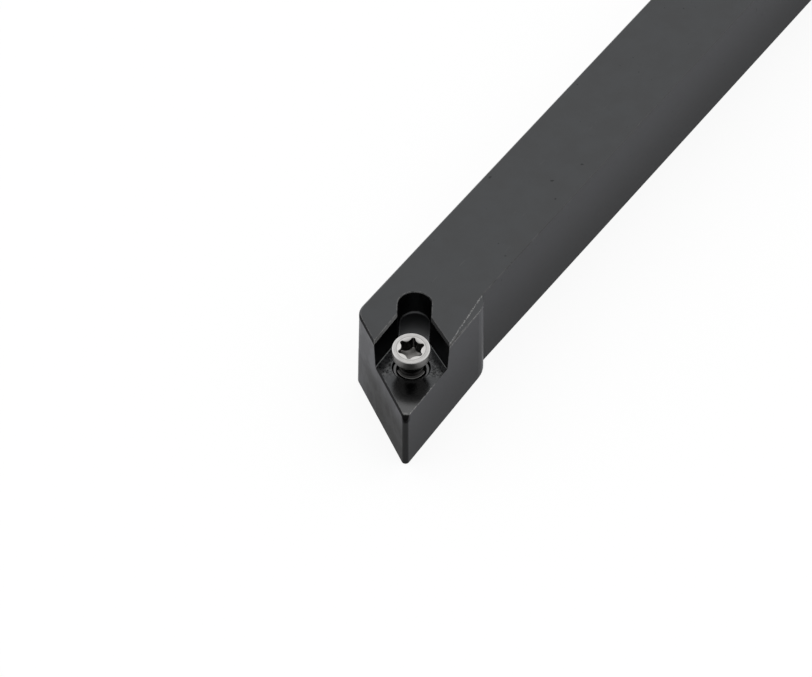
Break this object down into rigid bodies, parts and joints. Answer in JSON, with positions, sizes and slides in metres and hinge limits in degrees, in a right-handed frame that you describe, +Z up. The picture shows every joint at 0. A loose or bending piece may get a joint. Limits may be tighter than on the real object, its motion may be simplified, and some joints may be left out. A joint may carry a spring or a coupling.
{
  "type": "external turning tool holder",
  "caption": "Right-hand external turning tool holder with square shank, rhombic insert seat and screw clamp, shown without an insert.",
  "frame": {"origin": "on the shank's base face, on its centre line at mid-length", "axes": "+X across the shank to the cutting side, +Y from the tip to the rear end, +Z up out of the insert seat"},
  "size_m": [0.0094, 0.0992, 0.0085],
  "materials": {
    "black_steel": "satin black oxide on milled steel",
    "screw_steel": "bright satin steel"
  },
  "bodies": {
    "holder": {"holder_body": "black_steel"},
    "screw": {"clamp_screw": "screw_steel"}
  },
  "joints": [
    {"name": "clamp_screw_travel", "type": "slide", "parent": "holder", "child": "screw", "axis": [0.0785, -0.1333, 0.988], "range_m": [-0.0012, 0.003]}
  ]
}
